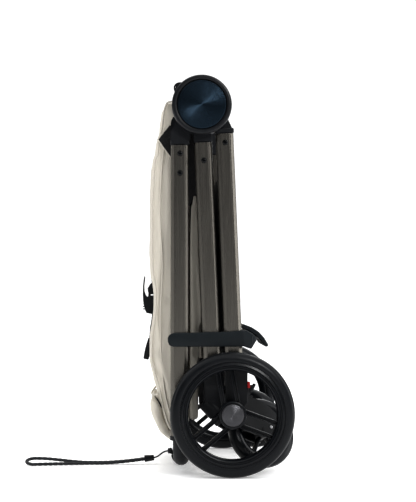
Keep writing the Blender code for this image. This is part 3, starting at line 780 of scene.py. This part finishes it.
class STROLLER_OT_hubs(bpy.types.Operator):
    """Round hub covers with their turned caps"""
    bl_idname = "stroller.hubs"
    bl_label = "Hub covers"

    def execute(self, context):
        look = finishes()
        big, cap = 54.6, 45.0
        for tag, side in SIDES:
            cup = turned([(208.5, 0), (208.5, big - 1.6), (210, big), (228.4, big), (230.4, big - 0.5),
                (231.9, big - 1.8), (232.5, big - 3.6), (232.5, cap + 3.0), (232.1, cap + 1.6),
                (230.8, cap + 0.7), (225.6, cap + 0.4), (225.6, 0)], HUB_Y, HUB_Z, 128)
            finished(mirrored(cup, side), f"hub_cover_{tag}", look["ring"], "hub", (f"hub_ring_{tag}",),
                30.0)
            face = turned([(225.9, 0), (225.9, cap - 0.6), (231.2, cap - 0.6), (232.1, cap - 0.9),
                (232.7, cap - 1.8), (233.0, cap - 3.2), (233.9, cap * 0.6), (234.4, 10.0), (234.5, 0)],
                HUB_Y, HUB_Z, 128)
            finished(mirrored(face, side), f"hub_cap_face_{tag}", look["cap"], "hub", (f"hub_cap_{tag}",),
                30.0)
        return {"FINISHED"}


class STROLLER_OT_rear_wheels(bpy.types.Operator):
    """Rear wheels: foam tyre, deep rim with three pairs of bars, and a turned axle cap"""
    bl_idname = "stroller.rear_wheels"
    bl_label = "Rear wheels"

    def execute(self, context):
        look = finishes()
        m, w = 245.0, 18.0    # the wheel's middle across the stroller, and half its tyre's width
        for tag, side in SIDES:
            body = f"rear_wheel_{tag}"
            tread = [(w - 2, 94.3), (w - 0.3, 96), (w, 99), (w - 0.5, 103), (w - 2.6, 107.6),
                (w - 6, 110.6), (7, 112.1), (6.4, 111.4), (5.6, 111.4), (5, 112.3)]
            tyre = turned(both_ways(tread, m, [(m, 112.5)]), AXLE_Y, AXLE_Z, 128, ring=True)
            finished(mirrored(tyre, side), f"rear_tyre_foam_{tag}", look["tyre"], body,
                (f"rear_tyre_{tag}",))
            ring = turned([(m - w + 2.6, 94), (m - w + 2, 91), (m - w + 5, 83), (m - w + 9, 80),
                (m + w - 9, 80), (m + w - 5.6, 80.6), (m + w - 3.6, 82.4), (m + w - 3.0, 84.4),
                (m + w - 4.6, 85.6), (m + w - 4.6, 87.6), (m + w - 2.4, 88.6), (m + w - 1.3, 90.4),
                (m + w - 2.6, 94)], AXLE_Y, AXLE_Z, 128, ring=True)
            boss = turned([(226, 6.5), (226, 15), (234, 22), (250, 25), (257.6, 25), (258.9, 24.4),
                (259.5, 23.2), (259.5, 21.2), (258.6, 20.8), (257.6, 20.8), (257.6, 6.5)], AXLE_Y, AXLE_Z,
                96, ring=True)
            bars = []
            for turn in (100, 220, 340):
                for shift in (-13.0, 13.0):
                    web = block(243.6, 252, 15, 84, shift - 2.4, shift + 2.4, 0.8, 2)
                    rails = [block(242.6, 256.6, 15, 84, shift + s * 3.1 - 0.9, shift + s * 3.1 + 0.9, 0.5,
                        2) for s in (-1, 1)]
                    bar = joined(web, *rails)
                    # block() draws in the drawing frame, so the bar goes back to the origin to be turned
                    moved(bar, (0, -SHIFT_Y, 0))
                    rolled(bar, turn)
                    moved(bar, (0, AXLE_Y, AXLE_Z))
                    bars.append(bar)
            whole = joined(ring, boss, *bars)
            finished(mirrored(whole, side), f"rear_rim_bars_{tag}", look["rim"], body, (f"rear_rim_{tag}",))
            cap = turned([(257.9, 6.6), (257.9, 20.3), (262.4, 20.3), (263.2, 19.9), (263.7, 19.0),
                (264.0, 17.6), (264.3, 8.0), (264.4, 0.0)], AXLE_Y, AXLE_Z, 96)
            finished(mirrored(cap, side), f"rear_cap_turned_{tag}", look["rear_cap"], body,
                (f"rear_cap_{tag}",))
        return {"FINISHED"}


class STROLLER_OT_front_wheels(bpy.types.Operator):
    """Small caster wheels with five spokes"""
    bl_idname = "stroller.front_wheels"
    bl_label = "Front wheels"

    def execute(self, context):
        look = finishes()
        w = 13.0    # half the tyre's width
        for tag, _ in SIDES:
            body = f"front_wheel_{tag}"
            joint = next(j for j in frame["joints"] if j["name"] == f"front_wheel_spin_{tag}")
            centre, axle = Vector(joint["pos_m"]), Vector(joint["axis"])
            lie = lying(centre, axle)
            tread = [(w - 1.5, 50.3), (w, 53), (w - 0.4, 56.5), (w - 2.4, 61.5), (w - 6, 64.6)]
            tyre = turned(both_ways(tread, crown=[(0, 65.8)]), 0, 0, 96, ring=True)
            bmesh.ops.transform(tyre, matrix=lie, verts=tyre.verts[:])
            finished(tyre, f"front_tyre_foam_{tag}", look["tyre"], body, (f"front_tyre_{tag}",))
            ring = turned(both_ways([(w - 2, 50), (w - 2.4, 46), (w - 4.5, 42.5), (w - 8, 40)]), 0, 0, 96,
                ring=True)
            boss = turned(both_ways([(w, 3.4), (w, 8), (w - 4, 12)]), 0, 0, 64, ring=True)
            spokes = []
            for k in range(5):
                spoke = block(-5, 5, 10, 42.5, -3.6, 3.6, 1.2, 2)
                moved(spoke, (0, -SHIFT_Y, 0))
                rolled(spoke, 72 * k + 20)
                spokes.append(spoke)
            whole = joined(ring, boss, *spokes)
            bmesh.ops.transform(whole, matrix=lie, verts=whole.verts[:])
            finished(whole, f"front_rim_spokes_{tag}", look["rim"], body, (f"front_rim_{tag}",))
        return {"FINISHED"}


class STROLLER_OT_grip(bpy.types.Operator):
    """Leatherette grip that joins the two handle tubes"""
    bl_idname = "stroller.grip"
    bl_label = "Handle grip"

    def execute(self, context):
        look = finishes()
        top, span, corner = 63.7, 162.0, 36.0
        half = [(198.0, top), (198.0, top - 1.2)]
        for k in range(1, 13):
            a = math.radians(90 * k / 12)
            half.append((span + corner * math.cos(a), 61.4 - 33.4 * math.sin(a)))
        for k in range(1, 13):
            x = span * (1 - k / 12)
            half.append((x, 15.5 + 6.25 * (1 - math.cos(math.pi * x / span))))
        whole = half + [(-x, z) for x, z in reversed(half[:-1])]
        bar = run_of("grip_sleeve", [at(x, GRIP_AT, z) for x, z in whole], 15.0, look["grip"], 8)
        dress(bar, "handle", ("grip",), 50.0)
        seam = run_of("grip_seam", [at(x, GRIP_AT + 14.8, z) for x, z in whole[2:-2]], 0.55,
            look["webbing"], 2)
        dress(seam, "handle", ())
        for tag, side in SIDES:
            cuff = turned(both_ways([(4, 15.45), (4, 17.0), (3, 17.6)]), 0, 0, 64, ring=True)
            rolled(cuff, 90, "Y")
            bmesh.ops.scale(cuff, vec=(0.83, 1.0, 1.0), verts=cuff.verts[:])
            moved(cuff, at(side * 198.0, 19.6, 66.6))
            bmesh.ops.recalc_face_normals(cuff, faces=cuff.faces[:])
            finished(cuff, f"grip_cuff_{tag}", look["black"], "handle")
        return {"FINISHED"}


PANEL = [(-1, 690), (-5, 686), (-9.5, 672), (-12, 650), (-14.5, 634), (-19, 617), (-20.5, 600), (-22, 588),
    (-26, 581), (-27.5, 566), (-29, 540), (-30.5, 512), (-31.5, 480), (-31.5, 430), (-31, 385),
    (-29.5, 364), (-26.5, 350), (-24.5, 334), (-24, 304), (-26, 284), (-29.5, 262), (-31.5, 242),
    (-32, 205), (-26, 180), (-19, 157), (-13, 128), (-6, 100), (3, 78), (13, 67), (28, 67), (34.5, 78),
    (34.5, 200), (34.5, 400), (34.5, 626), (28, 674), (14, 690)]


class STROLLER_OT_seat_back(bpy.types.Operator):
    """Padded seat back folded against the handle tubes, with bound seams and a net gusset"""
    bl_idname = "stroller.seat_back"
    bl_label = "Seat back"

    def execute(self, context):
        props, look = context.scene.stroller_look, finishes()
        pad = sewn("seat_back_cover", PANEL, 168, look["beige"], 20, 5.0, 5.0)
        padded_out(pad, 3.0, 14, 4.0)
        top = at(0, 0, 640).z

        def less_at_top(p):
            return 0.45 if p.z > top else 1.0
        creased(pad, (9.0, 55.0, 4.0), props.wrinkle, 0.4, less_at_top)
        creased(pad, (26.0, 40.0, 12.0), props.wrinkle * 0.45, 5.0)
        # soft upright folds down the two sides, none on the front
        for v in pad.data.vertices:
            side_on = max(0.0, abs(v.co.x) - 0.150) / 0.018
            depth = 0.6 + 0.4 * math.sin(v.co.z * 17 + 1)
            fold = math.sin(v.co.y * 520 + 2.2 * math.sin(v.co.z * 11)) * depth
            v.co.x -= math.copysign(0.0014 * min(1.0, side_on) * (1 + fold), v.co.x)
        dress(pad, "handle", ("seat_back_panel",), 180.0, CLOTH_LEVEL)
        lines = {tag: [(x, z) for x in range(-160, 161, 10)] for tag, z in (("top", 566), ("foot", 236))}
        for tag, side in SIDES:
            lines[tag] = [(side * 118, z) for z in range(236, 567, 10)]
            lines[f"{tag}_second"] = [(side * 124, z) for z in range(236, 567, 10)]
        for tag, points in lines.items():
            trim(f"seat_stitch_{tag}", laid_on("seat_back_cover", points, 0.1), 0.75, look["beige_edge"],
                sides=1, thin=every_other)
        # bound seams round both side faces
        for tag, side in SIDES:
            edge = [at(side * 166.5, y, z) for y, z in PANEL]
            centre = sum(edge, Vector()) / len(edge)
            edge = [p + (centre - p) * Vector((0, 1, 1)) * 0.012 for p in edge]
            loop = rounded_path([*edge, edge[0]], 4)[:-1]
            trim(f"side_piping_{tag}", loop, props.piping, look["beige_edge"], closed=True)
            fold = rounded_path([at(side * 169.0, y, z) for y, z in ((-6, 620), (-13, 570), (-17, 480),
                (-12, 380), (-16, 290), (-13, 200), (-6, 140), (6, 96))], 8)
            trim(f"side_tuck_{tag}", fold, 1.5, look["beige_edge"])
        # net gusset under the top flap, taped along its two free edges
        net = drawn([(-0.5, 642), (-12, 627), (-20.2, 616.5), (-9, 600), (3.5, 583), (10, 583), (10, 642)],
            -170.8, 170.8, 24)
        finished(net, "gusset_net", look["net"], "handle", smooth=40.0)
        shape = ((-0.5, 642), (-11, 629), (-20.0, 617.5), (-19.6, 614.5), (-9, 599), (3.5, 582))
        edges = [rounded_path([at(side * 171.0, y, z) for y, z in shape], 5) for side in (1, -1)]
        across = [at(x, -20.6 + 0.9 * math.cos(x / 30), 613.5) for x in range(-165, 166, 30)]
        for tag, way in (("left", edges[0]), ("right", edges[1]), ("front", rounded_path(across, 4))):
            trim(f"gusset_tape_{tag}", way, 1.2, look["beige_edge"])
        return {"FINISHED"}


class STROLLER_OT_pocket(bpy.types.Operator):
    """Storage pocket at the foot of the seat back, its mouth bound and a little open, with a dark strip down
    each side of the mouth as painted shade
    """
    bl_idname = "stroller.pocket"
    bl_label = "Storage pocket"

    def execute(self, context):
        props, look = context.scene.stroller_look, finishes()
        shape = [(-31.0, 136), (-32.4, 130), (-31.6, 118), (-26.5, 102), (-17.5, 83), (-6, 67), (7, 58),
            (14, 57), (16, 62), (4, 76), (-6, 98), (-14, 120), (-20, 131), (-26, 134)]
        pocket = sewn("pocket_cover", shape, 166, look["beige"], 20, 3.0, 4.5)
        padded_out(pocket, 3.0, 12, 3.5)
        creased(pocket, (16.0, 30.0, 22.0), props.wrinkle * 0.9, 2.0)
        dress(pocket, "handle", ("storage_pocket",), 180.0, CLOTH_LEVEL)
        lip = [at(x, -20.0 - 13.6 * math.cos(x / 168 * 1.5), 145.0 - 9.6 * math.cos(x / 168 * 1.45))
            for x in range(-168, 169, 28)]
        trim("pocket_binding", rounded_path(lip, 5), 1.9, look["beige_edge"])

        def swollen(i):
            return 0.35 + 0.65 * math.sin(i / 5)
        # dark webbing strips along the sides of the mouth: painted shade of the pocket's open inside
        for tag, side in SIDES:
            way = [at(side * 168.2, y, z) for y, z in ((-26, 141), (-21, 134), (-16.5, 126), (-13.5, 119))]
            trim(f"pocket_mouth_{tag}", rounded_path(way, 5), 1.5, look["webbing"], thin=swollen)
        return {"FINISHED"}


class STROLLER_OT_bellows(bpy.types.Operator):
    """Gathered side fabric between the handle and the front legs, in a darkened beige that is painted shade
    """
    bl_idname = "stroller.bellows"
    bl_label = "Side bellows"

    def execute(self, context):
        props, look = context.scene.stroller_look, finishes()
        shape = [(39, 98), (47, 95), (53.5, 99), (54.0, 200), (57.5, 240), (60.5, 300), (57.0, 400),
            (54.0, 470), (51.5, 512), (46, 513), (41, 490), (39, 440), (39, 300)]
        # the darkened bellows finish paints the shade of the recessed gather
        gather = sewn("bellows_cover", shape, CABIN_HALF, look["shade"], 24, 2.0, 4.0)
        creased(gather, (14.0, 70.0, 5.0), props.wrinkle * 0.8, 8.0)
        # pleat lines across the gather, at even steps
        bm = bmesh.new()
        bm.from_mesh(gather.data)
        for k in range(1, 18):
            scored(bm, 38 + 1.25 * k)
        bm.to_mesh(gather.data)
        bm.free()
        dress(gather, None, ("side_bellows",), 180.0, 0)
        top = [(37.0, 494), (45.0, 505), (52.0, 500), (50.5, 560), (49.0, 638), (36.5, 638)]
        finished(drawn(top, -174, 174, 12), "bellows_top_net", look["net"], "handle",
            smooth=40.0)
        near, far = at(0, 38.5, 300), at(0, 55.0, 300)
        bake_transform(gather)
        return {"FINISHED"}


class STROLLER_OT_front_panel(bpy.types.Operator):
    """Padded front panel between the front legs, in a darkened beige that is painted shade"""
    bl_idname = "stroller.front_panel"
    bl_label = "Front panel"

    def execute(self, context):
        props, look = context.scene.stroller_look, finishes()
        shape = [leaned(y, z, FRONT_LEAN) for y, z in ((-12, -64), (-12, -180), (-12, -300), (-11, -430),
            (-6, -437), (9, -437), (14, -430), (15, -300), (15, -180), (14, -64), (8, -60), (-6, -60))]
        # the front panel's darkened beige is painted shade
        pad = sewn("front_panel_cover", shape, CABIN_HALF, look["taupe"], 20, 4.0, 5.5)
        creased(pad, (12.0, 30.0, 5.0), props.wrinkle * 0.8, 3.0)
        dress(pad, "front_frame", ("front_panel",), 180.0, CLOTH_LEVEL)
        for tag, side in SIDES:
            ends = sorted((side * 150.0, side * CABIN_HALF))
            hem = block(*ends, 55.5, 62.5, 127, 205, 1.5)
            finished(hem, f"front_hem_{tag}", look["net"], "front_frame")
        return {"FINISHED"}


class STROLLER_OT_basket(bpy.types.Operator):
    """Net basket folded flat between the rear legs, with its fabric flap bulging to the rear; the flap's
    darkened beige is painted shade
    """
    bl_idname = "stroller.basket"
    bl_label = "Storage basket"

    def execute(self, context):
        props, look = context.scene.stroller_look, finishes()
        shape = [leaned(y, z, REAR_LEAN) for y, z in ((25, -130), (25, -300), (25, -478), (30, -485),
            (44, -485), (48, -440), (49, -340), (47, -240), (46, -130), (38, -126))]
        net = sewn("basket_net", shape, CABIN_HALF, look["net"], 20, 3.0, 5.0)
        creased(net, (14.0, 40.0, 7.0), props.wrinkle, 6.0)
        dress(net, "rear_frame", ("storage_basket",), 180.0, 0)
        flap = [leaned(y, z, REAR_LEAN) for y, z in ((42, -180), (50.5, -178), (53.5, -184), (54.8, -206),
            (55.6, -252), (55.0, -290), (57.0, -330), (57.4, -372), (54.6, -412), (50, -430), (44, -436),
            (42, -420), (42, -330), (42, -250))]
        # the flap's darkened beige is painted shade
        rear = sewn("basket_flap", flap, 177, look["taupe"], 20, 3.0, 4.0)
        creased(rear, (18.0, 40.0, 12.0), props.wrinkle * 0.7, 9.0)
        dress(rear, "rear_frame", (), 180.0, CLOTH_LEVEL)
        across = range(-172, 173, 43)
        trim("basket_flap_hem", rounded_path([at(x, *leaned(53.2, -181, REAR_LEAN)) for x in across], 4),
            1.8, look["beige_edge"], "rear_frame")
        brim = [at(x, *leaned(46.8, -128 - 3 * math.sin(x / 40), REAR_LEAN)) for x in across]
        trim("basket_edge", rounded_path(brim, 4), 2.2, look["webbing"], "rear_frame")
        return {"FINISHED"}


class STROLLER_OT_buckle(bpy.types.Operator):
    """Side-release buckle with its webbing, on the front of the seat back"""
    bl_idname = "stroller.buckle"
    bl_label = "Buckle"

    def execute(self, context):
        look = finishes()
        shell = drawn([(-25.0, 291.5), (-34.0, 290.3), (-44.0, 292.5), (-46.4, 297), (-49.0, 306),
            (-50.6, 317), (-51.2, 330), (-50.9, 345), (-49.6, 358), (-48.4, 364), (-46.9, 363.6),
            (-47.4, 357), (-48.7, 345), (-48.2, 335), (-46.0, 328), (-42.6, 323.6), (-40.0, 326.6),
            (-25.0, 326.6)], -14.6, 14.6, 8)
        for v in shell.verts:
            taper = 1.0 - 0.35 * max(0.0, (v.co.z - at(0, 0, 326).z) / 0.038)
            v.co.x *= taper
        ribs = [block(-10, 10, -51.2 + 0.2 * k, -44, 299 + 5 * k, 301 + 5 * k, 0.8, 2) for k in range(5)]
        socket = joined(shell, *ribs)
        finished(socket, "buckle_socket_shell", look["black"], "handle", ("buckle_socket",), 40.0)
        nose = drawn([(-25.5, 328.8), (-39.0, 328.8), (-41.2, 334), (-41.8, 341), (-39.8, 343.5),
            (-37.5, 348), (-32.5, 353), (-26.0, 357)], -14.0, 14.0, 8)
        tongues = ((-9.5, -6.5, 305), (6.5, 9.5, 305), (-2.2, 2.2, 303))
        head = joined(nose, *[block(x0, x1, -40.5, -36, z0, 331, 1.0, 2) for x0, x1, z0 in tongues])
        finished(head, "buckle_plug_shell", look["black"], "buckle_tongue", ("buckle_plug",), 40.0)
        upper = ribbon(laid_on("seat_back_cover", [(0, z) for z in range(346, 431, 6)], 1.6), 24, 1.6)
        finished(upper, "buckle_webbing_upper", look["webbing"], "buckle_tongue", smooth=50.0)
        lower = ribbon(laid_on("seat_back_cover", [(0, z) for z in range(206, 300, 6)], 0.8), 24, 1.4)
        finished(lower, "buckle_webbing_lower", look["webbing"], "handle", smooth=50.0)
        return {"FINISHED"}


class STROLLER_OT_zip_pull(bpy.types.Operator):
    """Rubber zip puller on its doubled cord"""
    bl_idname = "stroller.zip_pull"
    bl_label = "Zip puller"

    def execute(self, context):
        look = finishes()
        tab = bmesh.new()
        bmesh.ops.create_cube(tab, size=1.0)
        high = 0.042
        bmesh.ops.scale(tab, vec=(0.0098, 0.0105, high), verts=tab.verts[:])
        upright = [e for e in tab.edges if abs((e.verts[0].co - e.verts[1].co).z) > 0.01]
        bmesh.ops.subdivide_edges(tab, edges=upright, cuts=5, use_grid_fill=True)
        for v in tab.verts:
            t = v.co.z / high + 0.5
            v.co.x *= 0.62 + 0.5 * math.sin(math.pi * (0.25 + 0.45 * (1 - t)))
            v.co.y *= 0.75 + 0.35 * math.sin(math.pi * (1 - t) * 0.8)
        softened(tab, 0.9, 0.0012)
        rolled(tab, -12.0)
        moved(tab, at(26, -40.4, 223.0))
        finished(tab, "zip_tab", look["black"], "zip_puller", ("zip_pull",), 50.0)
        way = rounded_path([at(24.0, -36.8, 241), at(23.2, -36.4, 262), at(24.2, -32.4, 278),
            at(26.0, -31.0, 281.5), at(27.8, -31.4, 278), at(28.8, -33.4, 262), at(28.0, -36.2, 241)], 5)
        trim("zip_strands", way, 0.85, look["cord"], "zip_puller")
        slider = joined(block(21.5, 30.5, -32.2, -29.6, 276, 288, 1.0),
            block(24.4, 27.6, -33.0, -31.2, 278, 286, 0.6))
        finished(slider, "zip_slider", look["screw"], "handle")
        tape = ribbon(laid_on("seat_back_cover", [(26, z) for z in range(244, 561, 8)], 0.3), 13, 0.7)
        finished(tape, "zip_tape", look["beige_edge"], "handle", smooth=50.0)
        trim("zip_chain", laid_on("seat_back_cover", [(26, z) for z in range(244, 561, 3)], 1.0), 1.7,
            look["webbing"], thin=every_other)
        return {"FINISHED"}


class STROLLER_OT_stage(bpy.types.Operator):
    """Pale floor, soft studio light and the camera"""
    bl_idname = "stroller.stage"
    bl_label = "Stage"

    def execute(self, context):
        scene = context.scene
        floor_finish = Finish("pale_floor", roughness=0.7, specular=0.1)
        floor_finish.set("Base Color", (0.9, 0.9, 0.9, 1))
        floor_finish.set("Emission Color", (1.0, 1.0, 1.0, 1))
        floor_finish.set("Emission Strength", FLOOR_GLOW)
        floor = bmesh.new()
        bmesh.ops.create_grid(floor, x_segments=1, y_segments=1, size=60.0)
        moved(floor, (0, 0, -0.0005))
        finished(floor, "floor", floor_finish.made, smooth=None)
        world = bpy.data.worlds.new("studio")
        scene.world = world
        world.use_nodes = True
        nodes, links = world.node_tree.nodes, world.node_tree.links
        nodes["Background"].inputs[0].default_value = (0.96, 0.98, 1.0, 1)
        nodes["Background"].inputs[1].default_value = WORLD_DIM
        seen = nodes.new("ShaderNodeBackground")
        seen.inputs[0].default_value = (1.0, 1.0, 1.0, 1)
        seen.inputs[1].default_value = WORLD_SEEN
        either, ray = nodes.new("ShaderNodeMixShader"), nodes.new("ShaderNodeLightPath")
        links.new(ray.outputs["Is Camera Ray"], either.inputs[0])
        links.new(nodes["Background"].outputs[0], either.inputs[1])
        links.new(seen.outputs[0], either.inputs[2])
        links.new(either.outputs[0], nodes["World Output"].inputs[0])
        overhead = bpy.data.lights.new("overhead_dome", "SUN")
        overhead.energy, overhead.angle = 2.5, math.radians(110)
        scene.collection.objects.link(bpy.data.objects.new("overhead_dome", overhead))
        for name, where, target, wide, high, power in LAMPS:
            data = bpy.data.lights.new(name, "AREA")
            data.shape, data.size, data.size_y, data.energy = "RECTANGLE", wide, high, power
            lamp = bpy.data.objects.new(name, data)
            lamp.location = where
            lamp.rotation_euler = (Vector(target) - Vector(where)).to_track_quat("-Z", "Y").to_euler()
            scene.collection.objects.link(lamp)
        camera = bpy.data.objects.new("camera", bpy.data.cameras.new("camera"))
        camera.data.lens, camera.data.sensor_width = CAMERA_LENS, 36.0
        camera.location = CAMERA_AT
        yaw, pitch = math.radians(CAMERA_YAW), math.radians(CAMERA_PITCH)
        aim = Vector((-math.cos(yaw) * math.cos(pitch), math.sin(yaw) * math.cos(pitch), math.sin(pitch)))
        camera.rotation_euler = aim.to_track_quat("-Z", "Y").to_euler()
        scene.collection.objects.link(camera)
        scene.camera = camera
        scene.view_settings.view_transform = "Standard"
        scene.view_settings.gamma, scene.view_settings.exposure = 0.80, 0.18
        return {"FINISHED"}


class STROLLER_PT_panel(bpy.types.Panel):
    """Lists the stroller's pieces"""
    bl_idname = "STROLLER_PT_panel"
    bl_label = "Pet stroller"
    bl_space_type = "VIEW_3D"
    bl_region_type = "UI"
    bl_category = "Stroller"

    def draw(self, context):
        for name in ("fabric_colour", "tube_colour", "piping", "wrinkle", "screw_radius"):
            self.layout.prop(context.scene.stroller_look, name)
        for piece in PIECES:
            self.layout.operator(piece.bl_idname)


PIECES = (STROLLER_OT_stage, STROLLER_OT_frame, STROLLER_OT_strap, STROLLER_OT_latch, STROLLER_OT_pedals,
    STROLLER_OT_screws, STROLLER_OT_hubs, STROLLER_OT_rear_wheels, STROLLER_OT_front_wheels,
    STROLLER_OT_grip, STROLLER_OT_seat_back, STROLLER_OT_pocket, STROLLER_OT_bellows,
    STROLLER_OT_front_panel, STROLLER_OT_basket, STROLLER_OT_buckle, STROLLER_OT_zip_pull)
CLASSES = (StrollerLook, *PIECES, STROLLER_PT_panel)


def register():
    for cls in CLASSES:
        bpy.utils.register_class(cls)
    bpy.types.Scene.stroller_look = bpy.props.PointerProperty(type=StrollerLook)


def unregister():
    del bpy.types.Scene.stroller_look
    for cls in reversed(CLASSES):
        bpy.utils.unregister_class(cls)


def main():
    register()
    for piece in PIECES:
        group, name = piece.bl_idname.split(".")
        getattr(getattr(bpy.ops, group), name)()


if __name__ == "__main__":
    main()
